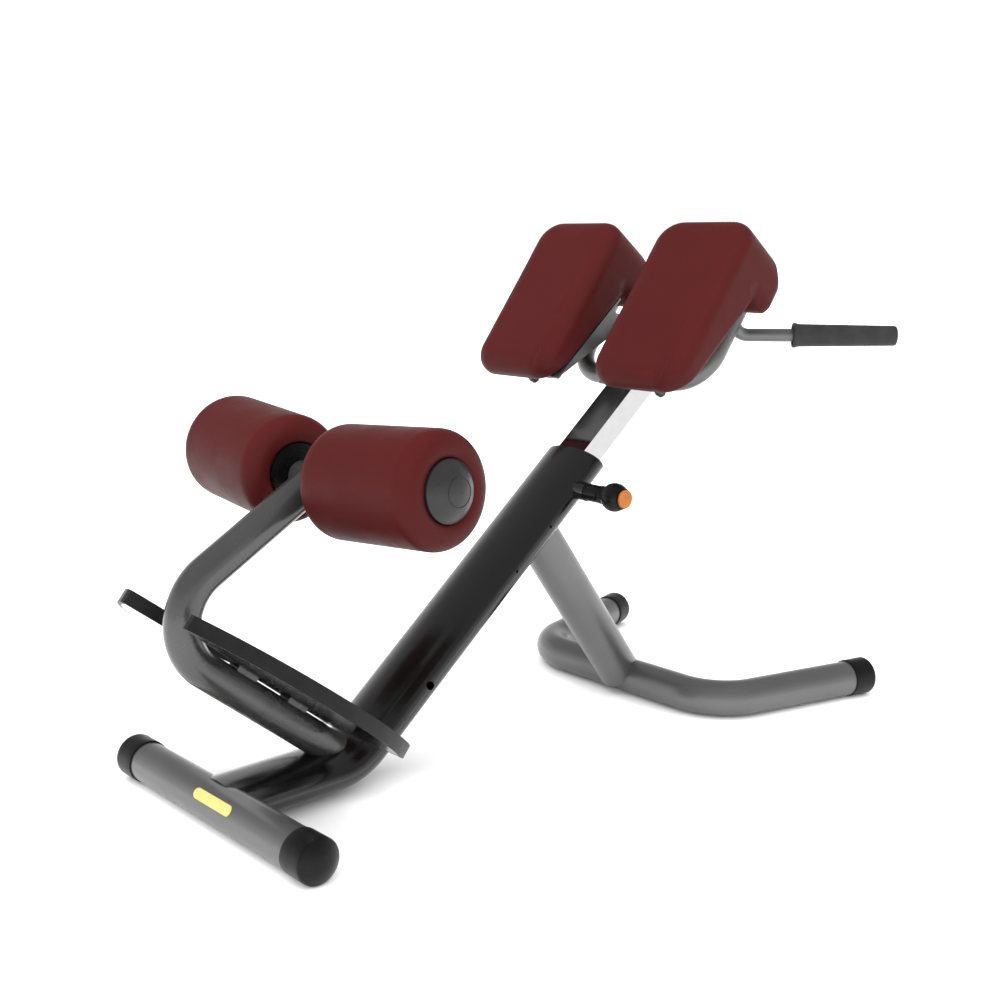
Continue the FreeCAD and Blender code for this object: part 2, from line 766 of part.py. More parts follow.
pin_bore = "dims.pin_radius + dims.running_clearance"
barrel_end = boss_face + dim("barrel_length")
barrel = fuse([
    cylinder("dims.barrel_radius", "dims.barrel_length", on_side(station, 0, boss_face)),
    cylinder(neck_radius, "14", on_side(station, 0, boss_face - 14)),
])
barrel_tools = fuse([
    cylinder(pin_bore, "100", on_side(station, 0, boss_face - 30)),
    cylinder("dims.barrel_radius - 2.5", "dims.barrel_length - 4", on_side(station, 0, boss_face + 2)),
])
keep(cut(barrel, barrel_tools), "pin_housing")

pin_tip = dim("post_width") / 2 + 0.6
knob_centre = barrel_end + 0.5 + 32
pin_length = knob_centre - pin_tip
pin_rod = cylinder("dims.pin_radius", f"{pin_length}", on_side(station, 0, pin_tip))
collar = cylinder("dims.barrel_radius - 2.7", "3", on_side(station, 0, boss_face + 2.2))
keep(fuse([pin_rod, collar]), "plunger_pin")

knob_ball = doc.addObject("Part::Sphere", "knob_ball")
bind(knob_ball, Radius="dims.knob_radius")
knob_ball.Placement = on_side(station, 0, knob_centre)
knob_neck = cylinder("dims.knob_radius * 0.62", "16", on_side(station, 0, barrel_end + 0.5))
knob_flat = dim("knob_radius") - 3
knob_tools = fuse([
    copy_of(exported[-1]),
    cylinder("dims.knob_radius", "20", on_side(station, 0, knob_centre + knob_flat)),
    cylinder("dims.knob_disc_radius", "6", on_side(station, 0, knob_centre + knob_flat - 2.5)),
])
keep(cut(fuse([knob_ball, knob_neck]), knob_tools), "pull_knob")
keep(cylinder("dims.knob_disc_radius", "4", on_side(station, 0, knob_centre + knob_flat - 2.5)), "knob_disc")

# ---------------------------------------------------------------- thigh pads
pad_centre_y = dim("pad_inner_y") + dim("pad_width") / 2


def pad_frame(side):
    """A frame on a pad's face, with its X up the face and its Z out of the face."""
    point = at(dim("pad_face_x"), side * pad_centre_y, dim("pad_face_z"))
    return tilted(point, dim("pad_angle"))


back_run = dim("pad_crook") - dim("pad_low")
back_fall = dim("pad_crook_depth") - dim("pad_low_thickness")
back_slope = math.degrees(math.atan2(back_fall, back_run))
back_length = math.hypot(back_run, back_fall)
back_frame = pad_frame(-1).multiply(place(V(dim("pad_low"), 0, -dim("pad_low_thickness")),
                                          FreeCAD.Rotation(Y_AXIS, back_slope)))
pad_corners = [
    ("dims.pad_low", "0"),
    ("dims.pad_top", "0"),
    ("dims.pad_top", "-dims.pad_nose_depth"),
    ("dims.pad_nose_low", "-dims.pad_nose_depth"),
    ("dims.pad_crook", "-dims.pad_crook_depth"),
    ("dims.pad_low", "-dims.pad_low_thickness"),
]
pad_body = prism("pad_cushion", pad_corners, "dims.pad_width", pad_frame(-1))


def on_pad_outline(edge):
    """Edges of the pad's two sides, and the long ones across its nose and ends."""
    if len(edge.Vertexes) != 2:
        return False
    a, b = (vertex.Point for vertex in edge.Vertexes)
    half = dim("pad_width") / 2 - 1
    crook = abs(a.x - dim("pad_crook")) < 1 and abs(b.x - dim("pad_crook")) < 1
    lower = a.x < dim("pad_low") + 1 and b.x < dim("pad_low") + 1
    behind = a.z < -1 and b.z < -1
    if abs(a.y) > half and abs(b.y) > half and a.y * b.y > 0:
        return not (lower and (a.z < -1 or b.z < -1))
    return not crook and not (lower and behind)


fillet_body(pad_body, "dims.pad_round * 0.5", on_pad_outline)
board_width = "dims.pad_width - 36"
board_length = f"{back_length} - 40"
board_corner = V(24, -(dim("pad_width") - 36) / 2, 0)
board_blank = box(board_length, board_width, "dims.board_thickness - 3",
                  back_frame.multiply(place(board_corner)))
bolt_y = dim("bolt_y") - pad_centre_y
bolt_places = [(dim("low_bolt_run"), -bolt_y), (dim("high_bolt_run"), -bolt_y)]


def through_back(radius, length, start):
    """Cylinders on the two pad bolts' axes, from a depth below the pad's back."""
    return [cylinder(radius, length, back_frame.multiply(place(V(d, y, start)))) for d, y in bolt_places]


board = cut(board_blank, fuse(through_back("6", "40", -10)))
keep(board, "pad_board_right")
mirrored(board, "pad_board_left")
pad = keep(cut(pad_body, copy_of(board_blank)), "thigh_pad_right")
mirrored(pad, "thigh_pad_left")
tnuts = [cut(outer, inner) for outer, inner in zip(through_back("6", "dims.board_thickness - 3", 0),
                                                  through_back("dims.bolt_radius", "40", -10))]
both_sides(tnuts, "pad_tee_nuts")

plate_steel = dim("pad_plate_thickness")
channel_low = -plate_steel - dim("channel_depth")
channel_y = -bolt_y - dim("channel_width") / 2
plate_y = -bolt_y - 25
plate_width = bolt_y + 25 + dim("pad_width") / 2 - 4
back_plate = box(f"{back_length} - 28", f"{plate_width}", "dims.pad_plate_thickness",
                 back_frame.multiply(place(V(14, plate_y, -plate_steel))))
keep(cut(back_plate, fuse(through_back("dims.bolt_radius", "60", -30))), "pad_plate_right")
mirrored(exported[-1], "pad_plate_left")

bolts = []
washers = []
for d, y in bolt_places:
    head_top = channel_low - dim("washer_thickness")
    shank = cylinder("dims.bolt_radius", "dims.channel_depth + 13", back_frame.multiply(place(V(d, y, head_top))))
    head = cylinder("dims.bolt_head_radius", "dims.bolt_head_height",
                    back_frame.multiply(place(V(d, y, head_top - dim("bolt_head_height")))))
    bolts.append(fuse([shank, head]))
    ring = cylinder("dims.washer_radius", "dims.washer_thickness",
                    back_frame.multiply(place(V(d, y, head_top))))
    washers.append(cut(ring, cylinder("dims.bolt_radius", "10", back_frame.multiply(place(V(d, y, head_top - 2))))))
both_sides(bolts, "pad_bolts")
both_sides(washers, "pad_washers")

# The low bolt of each pad has no bracket above its washer, so a sleeve fills the gap.
low_place = back_frame.multiply(place(V(dim("low_bolt_run"), -bolt_y, channel_low)))
sleeve = cut(cylinder("dims.washer_radius", "dims.channel_depth", low_place),
             cylinder("dims.bolt_radius", "dims.channel_depth", low_place))
both_sides([sleeve], "pad_bolt_sleeves")

# ---------------------------------------------------------------- yoke, brackets, saddle and gussets
# The yoke is a thick tube bent into a U across the post, in a plane that leans up from the beam's.
yoke_frame = beam.multiply(tilted(V(dim("yoke_station"), 0, dim("yoke_height")), dim("yoke_tilt")))
leg_y = dim("yoke_leg_y")
yoke_points = [yoke_frame.multVec(V(x, y, 0)) for x, y in
               ((0, -dim("post_width") / 2), (0, -leg_y), (dim("yoke_leg_run"), -leg_y))]
yoke_shape, yoke_bar_shape = wire_tube(yoke_points, [dim("yoke_bend_radius")],
                                       dim("yoke_radius"), dim("yoke_radius") - dim("yoke_wall"))
yoke_tube = doc.addObject("Part::Feature", "yoke_tube")
yoke_tube.Shape = yoke_shape
yoke_bar = doc.addObject("Part::Feature", "yoke_bar")
yoke_bar.Shape = yoke_bar_shape

side_y = dim("handle_side_y")
drop = dim("handle_drop")
slope = math.radians(beam_angle)
elbow_station = (dim("handle_height") - beam.Base.z - drop * math.cos(slope)) / math.sin(slope)
leg_station = elbow_station
leg_rise = (leg_station - dim("yoke_station")) * math.tan(math.radians(dim("yoke_tilt")))
leg_point = beam.multVec(V(leg_station, -side_y, dim("yoke_height") + leg_rise))
elbow = beam.multVec(V(elbow_station, -side_y, drop))
splay = math.radians(dim("handle_splay"))
handle_direction = V(math.cos(splay), -math.sin(splay), 0)
handle_end = elbow + handle_direction * (dim("grip_start") + dim("grip_length") - 8)
tube_shape, tube_bar = wire_tube([leg_point, elbow, handle_end], [dim("handle_turn_radius")],
                                 dim("handle_radius"), dim("handle_radius") - dim("handle_wall"))
handle_solid = doc.addObject("Part::Feature", "handle_bar")
handle_solid.Shape = tube_bar

# The handle's tube runs into the yoke's leg through a hole in its lower wall.
yoke = cut(yoke_tube, handle_solid)
keep(yoke, "yoke_right")
mirrored(yoke, "yoke_left")

# Each bracket is a channel under the pad's plate, with an upright web on the yoke's leg.
channel_place = back_frame.multiply(place(V(60, channel_y, channel_low)))
channel_outer = box(f"{back_length} - 74", "dims.channel_width", "dims.channel_depth", channel_place)
channel_inner = box(f"{back_length}", "dims.channel_width - dims.channel_wall * 2", "dims.channel_depth",
                    channel_place.multiply(place(V(-10, dim("channel_wall"), dim("channel_wall")))))
channel = cut(channel_outer, channel_inner)
web = centred_box("72", "dims.bracket_web", "60", beam, V(562, -dim("bolt_y"), 48))
web_tools = fuse([copy_of(yoke_bar),
                  box("400", "dims.pad_width", "80", back_frame.multiply(place(V(-60, -dim("pad_width") / 2, channel_low + 1))))])
bracket = cut(fuse([channel, cut(web, web_tools)]), fuse(through_back("dims.bolt_radius", "60", -40)))
keep(bracket, "pad_bracket_right")
mirrored(bracket, "pad_bracket_left")

gusset_y = -(dim("pad_inner_y") + 6)
gusset_frame = beam.multiply(place(V(0, gusset_y, 0)))
gusset = prism("gusset", [("393", "98"), ("566", "101"), ("566", "67"), ("519", "69")],
               "dims.gusset_thickness", gusset_frame)
gusset_cut = cut(gusset, fuse([copy_of(back_plate), copy_of(pad_body)]))
keep(gusset_cut, "pad_gusset_right")
mirrored(gusset_cut, "pad_gusset_left")

# The saddle is a folded channel on the post's upper face, and its two walls meet the gussets.
saddle_foot = dim("post_depth") / 2
saddle_height = 50
saddle_frame = beam.multiply(place(V(548, 0, saddle_foot)))
saddle_outer = centred_box("dims.saddle_width", "dims.saddle_half_width * 2", f"{saddle_height}", saddle_frame,
                           V(0, 0, saddle_height / 2))
saddle_inner = centred_box("dims.saddle_width + 2", "dims.saddle_half_width * 2 - dims.saddle_wall * 2",
                           f"{saddle_height}", saddle_frame, V(0, 0, saddle_height / 2 + dim("saddle_wall")))
keep(cut(cut(saddle_outer, saddle_inner), fuse([copy_of(gusset), twin(gusset)])), "upper_bridge")

# ---------------------------------------------------------------- handles
handle = doc.addObject("Part::Feature", "handle_tube")
handle.Shape = tube_shape
handle_trimmed = cut(handle, cut(copy_of(yoke_tube), cylinder("dims.handle_radius", "60", along(leg_point, elbow - leg_point))))
keep(handle_trimmed, "handle_right")
mirrored(handle_trimmed, "handle_left")

grip_place = along(elbow + handle_direction * dim("grip_start"), handle_direction)
grip_cone = doc.addObject("Part::Cone", "grip_cone")
bind(grip_cone, Radius1="dims.grip_root_radius", Radius2="dims.grip_tip_radius", Height="dims.grip_length")
grip_rounded = rounded(grip_cone, "4", lambda edge: isinstance(edge.Curve, Part.Circle)
                       and edge.Curve.Center.z > 100)
grip_rounded.Placement = grip_place
grip_tools = fuse([
    cylinder("dims.handle_radius", "dims.grip_length - 8", grip_place),
    cylinder("dims.grip_root_radius - 3.5", "14", grip_place.multiply(place(V(0, 0, -1)))),
])
grip = keep(cut(grip_rounded, grip_tools), "grip_right")
mirrored(grip, "grip_left")

# ---------------------------------------------------------------- blank badge
# A thin pill, bent round the crossbar's upper front.
badge_shell = cut(cylinder("dims.floor_tube_radius + 0.8", "dims.badge_length + 10", place(V(0, 0, 0))),
                  cylinder("dims.floor_tube_radius", "dims.badge_length + 12", place(V(0, 0, -1))))
badge_shell.Placement = along(at(0, dim("badge_y") - dim("badge_length") / 2 - 5, foot_z), Y_AXIS)
badge_frame = tilted(at(0, dim("badge_y"), foot_z), dim("badge_elevation")).multiply(
    place(V(0, 0, 0), FreeCAD.Rotation(Y_AXIS, 90)))
half_straight = (dim("badge_length") - dim("badge_height")) / 2
pill = [centred_box("dims.badge_height", "dims.badge_length - dims.badge_height", "80", badge_frame, V(0, 0, 40))]
pill += [cylinder("dims.badge_height / 2", "80", badge_frame.multiply(place(V(0, offset, 0))))
         for offset in (-half_straight, half_straight)]
keep(common([badge_shell, fuse(pill)]), "blank_badge")

# ---------------------------------------------------------------- checks and files
doc.recompute()
for item in doc.Objects:
    bad = [state for state in item.State if state in ("Invalid", "Error")]
    if bad:
        raise RuntimeError(f"{item.Name} ({item.Label}) failed: {bad}")
os.makedirs("parts", exist_ok=True)
overall = FreeCAD.BoundBox()
for item in exported:
    shape = item.Shape
    if shape.isNull() or not shape.isValid() or not shape.Solids:
        raise RuntimeError(f"{item.Label} has no valid solid")
    shape.exportStep(f"parts/{item.Label}.step")
    overall.add(shape.BoundBox)
    print(item.Label, len(shape.Solids), round(shape.Volume / 1000, 2))
print(len(exported), "sub-parts, box", overall)
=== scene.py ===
import bpy
import bmesh
import json
import math
import numpy as np
from mathutils import Matrix, Vector


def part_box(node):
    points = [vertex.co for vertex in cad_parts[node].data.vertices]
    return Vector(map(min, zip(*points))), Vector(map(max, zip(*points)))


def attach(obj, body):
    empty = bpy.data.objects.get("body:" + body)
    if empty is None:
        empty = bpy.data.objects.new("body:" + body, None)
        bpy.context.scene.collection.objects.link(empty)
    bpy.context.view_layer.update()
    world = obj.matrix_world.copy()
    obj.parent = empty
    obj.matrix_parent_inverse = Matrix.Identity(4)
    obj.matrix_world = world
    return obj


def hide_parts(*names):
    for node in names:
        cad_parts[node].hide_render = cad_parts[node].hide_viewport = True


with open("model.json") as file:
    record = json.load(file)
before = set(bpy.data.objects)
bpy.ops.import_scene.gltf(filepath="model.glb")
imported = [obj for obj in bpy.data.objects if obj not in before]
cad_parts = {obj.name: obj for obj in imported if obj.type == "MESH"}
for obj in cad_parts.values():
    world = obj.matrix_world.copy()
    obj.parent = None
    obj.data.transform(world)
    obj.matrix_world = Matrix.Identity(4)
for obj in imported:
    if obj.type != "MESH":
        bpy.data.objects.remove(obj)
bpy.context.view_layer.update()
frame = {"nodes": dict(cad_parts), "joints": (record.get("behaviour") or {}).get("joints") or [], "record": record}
nodes = frame["nodes"]
scene = bpy.context.scene


# ---------------------------------------------------------------- node materials
class Shader:
    """A procedural material: a Principled BSDF with textures in object space."""

    def __init__(self, name, roughness=0.5, **constants):
        self.material = bpy.data.materials.new(name)
        self.material.use_nodes = True
        self.tree = self.material.node_tree
        self.bsdf = self.tree.nodes["Principled BSDF"]
        self.bsdf.inputs["Roughness"].default_value = roughness
        for socket, value in constants.items():
            self.bsdf.inputs[socket.replace("_", " ")].default_value = value
        self.place = self.tree.nodes.new("ShaderNodeTexCoord").outputs["Object"]

    def link(self, source, target):
        self.tree.links.new(source, target)

    def node(self, kind, **settings):
        made = self.tree.nodes.new(kind)
        for key, value in settings.items():
            setattr(made, key, value)
        return made

    def noise(self, scale, detail=3.0, stretch=None, roughness=0.5):
        made = self.node("ShaderNodeTexNoise")
        made.inputs["Scale"].default_value = scale
        made.inputs["Detail"].default_value = detail
        made.inputs["Roughness"].default_value = roughness
        self.link(self.stretched(stretch), made.inputs["Vector"])
        return made.outputs["Fac"]

    def stretched(self, stretch):
        if stretch is None:
            return self.place
        mapping = self.node("ShaderNodeMapping")
        mapping.inputs["Scale"].default_value = stretch
        self.link(self.place, mapping.inputs["Vector"])
        return mapping.outputs["Vector"]

    def cells(self, scale, feature="F1", stretch=None):
        made = self.node("ShaderNodeTexVoronoi", feature=feature)
        made.inputs["Scale"].default_value = scale
        self.link(self.stretched(stretch), made.inputs["Vector"])
        return made.outputs["Distance"]

    def ramp(self, factor, low, high, start=0.0, end=1.0):
        """Values, or colours, from low to high as the factor goes from start to end."""
        made = self.node("ShaderNodeMapRange")
        made.inputs["From Min"].default_value = start
        made.inputs["From Max"].default_value = end
        self.link(factor, made.inputs["Value"])
        if isinstance(low, tuple):
            mix = self.node("ShaderNodeMix", data_type="RGBA")
            mix.inputs["A"].default_value = (*low, 1.0)
            mix.inputs["B"].default_value = (*high, 1.0)
            self.link(made.outputs["Result"], mix.inputs["Factor"])
            return mix.outputs["Result"]
        made.inputs["To Min"].default_value = low
        made.inputs["To Max"].default_value = high
        return made.outputs["Result"]

    def colour(self, dark, light, factor, start=0.3, end=0.7):
        self.link(self.ramp(factor, dark, light, start, end), self.bsdf.inputs["Base Color"])
        return self

    def rough(self, low, high, factor, start=0.3, end=0.7):
        self.link(self.ramp(factor, low, high, start, end), self.bsdf.inputs["Roughness"])
        return self

    def bump(self, *layers):
        """Bumps stacked from (height, depth in metres, strength)."""
        normal = None
        for height, depth, strength in layers:
            made = self.node("ShaderNodeBump")
            made.inputs["Distance"].default_value = depth
            made.inputs["Strength"].default_value = strength
            self.link(height, made.inputs["Height"])
            if normal is not None:
                self.link(normal, made.inputs["Normal"])
            normal = made.outputs["Normal"]
        self.link(normal, self.bsdf.inputs["Normal"])
        return self


def paint(name, dark, light, roughness, coat=0.0, **constants):
    """Powder coat: slight mottling, orange peel and a few scuffs."""
    made = Shader(name, roughness, Coat_Weight=coat, Coat_Roughness=0.12, **constants)
    made.colour(dark, light, made.noise(9.0, 4.0))
    made.rough(roughness * 0.9, roughness * 1.15, made.noise(24.0, 5.0))
    return made.bump((made.noise(650.0, 2.0), 0.0003, 0.10), (made.noise(90.0, 2.0), 0.0006, 0.05)).material


def vinyl(name, dark, light):
    """Upholstery vinyl: fine leather grain, soft mottling and a worn sheen."""
    made = Shader(name, 0.50, Specular_IOR_Level=0.09)
    made.colour(dark, light, made.noise(7.0, 5.0))
    made.rough(0.42, 0.52, made.noise(30.0, 4.0))
    return made.bump(
        (made.cells(900.0, "DISTANCE_TO_EDGE"), 0.0002, 0.16),
        (made.noise(260.0, 3.0), 0.0004, 0.10),
        (made.noise(14.0, 2.0), 0.003, 0.10),
    ).material


def rubber(name, dark, light, roughness, shine):
    """Moulded rubber or satin plastic: fine stipple and dusty tone changes."""
    made = Shader(name, roughness, Specular_IOR_Level=shine)
    made.colour(dark, light, made.noise(40.0, 5.0))
    made.rough(roughness * 0.9, roughness * 1.12, made.noise(60.0, 4.0))
    return made.bump((made.noise(1400.0, 2.0), 0.0002, 0.22), (made.noise(180.0, 2.0), 0.0004, 0.08)).material


def steel(name, dark, light, roughness, stretch):
    """Bare or plated steel, brushed along one direction."""
    made = Shader(name, roughness, Metallic=1.0)
    grain = made.noise(60.0, 6.0, stretch)
    made.colour(dark, light, grain)
    made.rough(roughness * 0.75, roughness * 1.3, grain)
    return made.bump((grain, 0.0002, 0.12)).material


def wood(name):
    made = Shader(name, 0.7)
    grain = made.noise(30.0, 6.0, (1.0, 9.0, 9.0))
    made.colour((0.36, 0.22, 0.11), (0.58, 0.41, 0.24), grain)
    return made.bump((grain, 0.0004, 0.3)).material


MATERIALS = {
    "grey_paint": paint("grey_paint", (0.112, 0.112, 0.112), (0.126, 0.126, 0.126), 0.34, 0.15, Metallic=0.7),
    "black_paint": paint("black_paint", (0.0020, 0.0020, 0.0020), (0.0032, 0.0032, 0.0032), 0.20, 0.2, Specular_IOR_Level=0.5),
    "dark_grey_paint": paint("dark_grey_paint", (0.060, 0.060, 0.060), (0.070, 0.070, 0.070), 0.26, 0.2, Metallic=0.6),
    "black_rubber": rubber("black_rubber", (0.0030, 0.0030, 0.0030), (0.0045, 0.0045, 0.0045), 0.34, 0.16),
    "tread_rubber": rubber("tread_rubber", (0.0060, 0.0060, 0.0060), (0.0085, 0.0085, 0.0085), 0.42, 0.18),
    "grip_rubber": rubber("grip_rubber", (0.014, 0.014, 0.014), (0.022, 0.022, 0.022), 0.6, 0.3),
    "bright_steel": steel("bright_steel", (0.55, 0.55, 0.56), (0.70, 0.70, 0.71), 0.28, (1.0, 1.0, 1.0)),
    # dark_steel: darkened steel. On the plate screws this dark colour is painted shade for the shadow under the foot
    # plate.
    "dark_steel": steel("dark_steel", (0.045, 0.045, 0.045), (0.070, 0.070, 0.070), 0.35, (1.0, 1.0, 1.0)),
    "brushed_plate": steel("brushed_plate", (0.58, 0.58, 0.59), (0.66, 0.66, 0.66), 0.09, (1.0, 12.0, 1.0)),
    "chrome": steel("chrome", (0.38, 0.38, 0.38), (0.41, 0.41, 0.41), 0.06, (1.0, 20.0, 1.0)),
    "black_plastic": rubber("black_plastic", (0.0030, 0.0030, 0.0030), (0.0045, 0.0045, 0.0045), 0.28, 0.16),
    "hub_plastic": rubber("hub_plastic", (0.012, 0.012, 0.012), (0.016, 0.016, 0.016), 0.34, 0.35),
    "ring_plastic": rubber("ring_plastic", (0.006, 0.006, 0.006), (0.009, 0.009, 0.009), 0.3, 0.3),
    "orange_plastic": rubber("orange_plastic", (0.30, 0.085, 0.004), (0.42, 0.13, 0.006), 0.3, 0.3),
    "badge_plastic": rubber("badge_plastic", (0.50, 0.43, 0.13), (0.56, 0.49, 0.17), 0.3, 0.3),
    "plywood": wood("plywood"),
    "red_vinyl": vinyl("red_vinyl", (0.050, 0.0058, 0.0058), (0.056, 0.0068, 0.0068)),
    "roller_vinyl": vinyl("roller_vinyl", (0.048, 0.0050, 0.0050), (0.054, 0.0060, 0.0060)),
}
LOOK_OF = {
    "foot_tread": "tread_rubber",
    # The plate screws get dark steel as painted shade, so they read as the shadow under the foot plate.
    "plate_screws": "dark_steel",
    "pad_bolts": "dark_steel",
    "pad_washers": "dark_steel",
    "pad_bolt_sleeves": "dark_steel",
    "roller_end_cap_right": "hub_plastic",
    "roller_end_cap_left": "hub_plastic",
}
slot_of = {entry["node"]: entry["material_slot"] for entry in frame["record"]["subparts"]}
for name, node in nodes.items():
    node.data.materials.clear()
    node.data.materials.append(MATERIALS[LOOK_OF.get(name, slot_of[name])])


# ---------------------------------------------------------------- mesh helpers
def new_piece(name, mesh, body, slot, replaces=(), look=None):
    piece = bpy.data.objects.new(name, mesh)
    scene.collection.objects.link(piece)
    mesh.materials.clear()
    mesh.materials.append(MATERIALS[look or slot])
    for polygon in mesh.polygons:
        polygon.use_smooth = True
    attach(piece, body)
    if replaces:
        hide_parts(*replaces)
    return piece


def lathe(profile, axis_frame, segments=72, closed=False):
    """A mesh turned from (radius, height) points about an axis frame's Z. A closed profile is a ring's section."""
    mesh = bpy.data.meshes.new("lathe")
    builder = bmesh.new()
    rings = []
    for radius, height in profile:
        if radius == 0.0:
            rings.append([builder.verts.new((0.0, 0.0, height))])
            continue
        angles = [2 * math.pi * i / segments for i in range(segments)]
        rings.append([builder.verts.new((radius * math.cos(a), radius * math.sin(a), height)) for a in angles])
    for low, high in zip(rings, rings[1:] + rings[:1] if closed else rings[1:]):
        for i in range(segments):
            j = (i + 1) % segments
            corners = [low[i % len(low)], low[j % len(low)], high[j % len(high)], high[i % len(high)]]
            unique = list(dict.fromkeys(corners))
            if len(unique) > 2:
                builder.faces.new(unique)
    bmesh.ops.recalc_face_normals(builder, faces=builder.faces)
    builder.transform(axis_frame)
    builder.to_mesh(mesh)
    builder.free()
    return mesh


def arc(centre, radius, start, end, steps=8):
    """Points of an arc in a lathe profile, by angles in degrees."""
    angles = np.radians(np.linspace(start, end, steps))
    return [(centre[0] + radius * math.cos(a), centre[1] + radius * math.sin(a)) for a in angles]


def axis_frame(origin, direction):
    rotation = Vector((0, 0, 1)).rotation_difference(Vector(direction).normalized())
    return Matrix.Translation(origin) @ rotation.to_matrix().to_4x4()


def middle(node):
    low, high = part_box(node)
    return (low + high) / 2


# ---------------------------------------------------------------- measuring the frame's nodes
def points_of(node):
    """Every corner of a CAD node, at rest."""
    source = nodes[node]
    local = np.empty(len(source.data.vertices) * 3)
    source.data.vertices.foreach_get("co", local)
    turn = np.array(source.matrix_world)
    return local.reshape(-1, 3) @ turn[:3, :3].T + turn[:3, 3]


def round_about(node, direction):
    """(frame at a round node's low end with Z along its axis, its length, its largest radius)."""
    along = Vector(direction).normalized()
    turned = along.to_track_quat("Z", "Y").to_matrix()
    local = points_of(node) @ np.array(turned)
    low, high = local.min(axis=0), local.max(axis=0)
    centre = (low + high) / 2
    radius = np.hypot(local[:, 0] - centre[0], local[:, 1] - centre[1]).max()
    origin = turned @ Vector((centre[0], centre[1], low[2]))
    return Matrix.Translation(origin) @ turned.to_4x4(), high[2] - low[2], radius


def smooth_step(value):
    value = np.clip(value, 0.0, 1.0)
    return value * value * (3 - 2 * value)


def coordinates(mesh):
    flat = np.empty(len(mesh.vertices) * 3)
    mesh.vertices.foreach_get("co", flat)
    return flat.reshape(-1, 3)


def set_coordinates(mesh, points):
    mesh.vertices.foreach_set("co", points.ravel())
    mesh.update()


def evaluated(source, *kinds):
    """A new mesh with the modifiers of those kinds applied to it, each with its settings."""
    carrier = bpy.data.objects.new("carrier", source)
    scene.collection.objects.link(carrier)
    for kind, settings in kinds:
        modifier = carrier.modifiers.new(kind.lower(), kind)
        for key, value in settings.items():
            setattr(modifier, key, value)
    result = bpy.data.meshes.new_from_object(carrier.evaluated_get(bpy.context.evaluated_depsgraph_get()))
    bpy.data.objects.remove(carrier)
    return result


def relaxed(mesh, values, rounds):
    """Values at the mesh's points, averaged with their neighbours."""
    ends = np.empty(len(mesh.edges) * 2, dtype=np.int64)
    mesh.edges.foreach_get("vertices", ends)
    first, second = ends.reshape(-1, 2).T
    count = np.bincount(np.concatenate([first, second]), minlength=len(values))[:, None]
    for _ in range(rounds):
        total = np.zeros_like(values)
        np.add.at(total, first, values[second])
        np.add.at(total, second, values[first])
        values = (values + total / count) / 2
    return values


def swelled(mesh, cap, pressure=4.0):
    """Cloth under inner pressure: each point moves straight outwards, by no more than its cap."""
    start = coordinates(mesh)
    carrier = bpy.data.objects.new("swelling", mesh)
    scene.collection.objects.link(carrier)
    cloth = carrier.modifiers.new("cloth", "CLOTH").settings
    cloth.quality = 5
    cloth.mass = 0.3
    cloth.tension_stiffness = cloth.compression_stiffness = 15.0
    cloth.bending_stiffness = 0.5
    cloth.use_pressure = True
    cloth.uniform_pressure_force = pressure
    cloth.effector_weights.gravity = 0.0
    for step in range(1, 21):
        scene.frame_set(step)
    final = carrier.evaluated_get(bpy.context.evaluated_depsgraph_get()).to_mesh()
    move = coordinates(final) - start
    scene.frame_set(1)
    bpy.data.objects.remove(carrier)
    normals = np.empty(len(mesh.vertices) * 3)
    mesh.vertices.foreach_get("normal", normals)
    normals = normals.reshape(-1, 3)
    outward = np.clip((move * normals).sum(axis=1), 0.0, cap)[:, None]
    set_coordinates(mesh, start + relaxed(mesh, outward, 8) * normals)


def mirror_mesh(mesh):
    """The opposite-handed mesh, across y = 0."""
    twin = mesh.copy()
    twin.transform(Matrix.Scale(-1, 4, (0, 1, 0)))
    twin.flip_normals()
    return twin


# ---------------------------------------------------------------- thigh pads
# Pad frame: X up the face, Y across it, Z out of it. Values are in metres.
PAD_ANGLE = math.radians(53.0)
PAD_LOW, PAD_TOP, PAD_HALF = -0.152, 0.164, 0.096
PAD_CORNER = 0.047
BACK_START, BACK_END = (PAD_LOW, -0.0362), (0.068, -0.087)
NOSE_LOW, NOSE_BACK = 0.060, -0.140


def intersected(a, b, radius):
    """The distance field of two fields' common part, with its meeting edge rounded."""
    inner = np.minimum(np.maximum(a, b) + radius, 0.0)
    return inner + np.hypot(np.maximum(a + radius, 0.0), np.maximum(b + radius, 0.0)) - radius


def line_field(x, z, start, end):
    """Distance from a line in the pad's profile, above zero on its left."""
    dx, dz = end[0] - start[0], end[1] - start[1]
    return (dx * (z - start[1]) - dz * (x - start[0])) / math.hypot(dx, dz)


def pad_back_field(p):
    return -line_field(p[:, 0], p[:, 2], BACK_START, BACK_END)


def pad_field(p):
    x, y, z = p.T
    back = pad_back_field(p)
    nose = intersected(NOSE_BACK - z, line_field(x, z, (NOSE_LOW, NOSE_BACK), BACK_END), 0.024)
    share = np.clip(0.5 + 0.5 * (back - nose) / 0.010, 0.0, 1.0)
    under = back * (1 - share) + nose * share - 0.010 * share * (1 - share)
    side_x = np.abs(x - (PAD_LOW + PAD_TOP) / 2) - (PAD_TOP - PAD_LOW) / 2 + PAD_CORNER
    side_y = np.abs(y) - PAD_HALF + PAD_CORNER
    plan = np.hypot(np.maximum(side_x, 0), np.maximum(side_y, 0)) + np.minimum(np.maximum(side_x, side_y), 0) - PAD_CORNER
    free = np.maximum(smooth_step((-back - 0.008) / 0.014), smooth_step((x - 0.055) / 0.020))
    edge = 0.008 + 0.016 * free + 0.016 * smooth_step((x - 0.11) / 0.03) * smooth_step((-0.085 - z) / 0.03)
    return intersected(np.maximum(z, under), plan, edge)


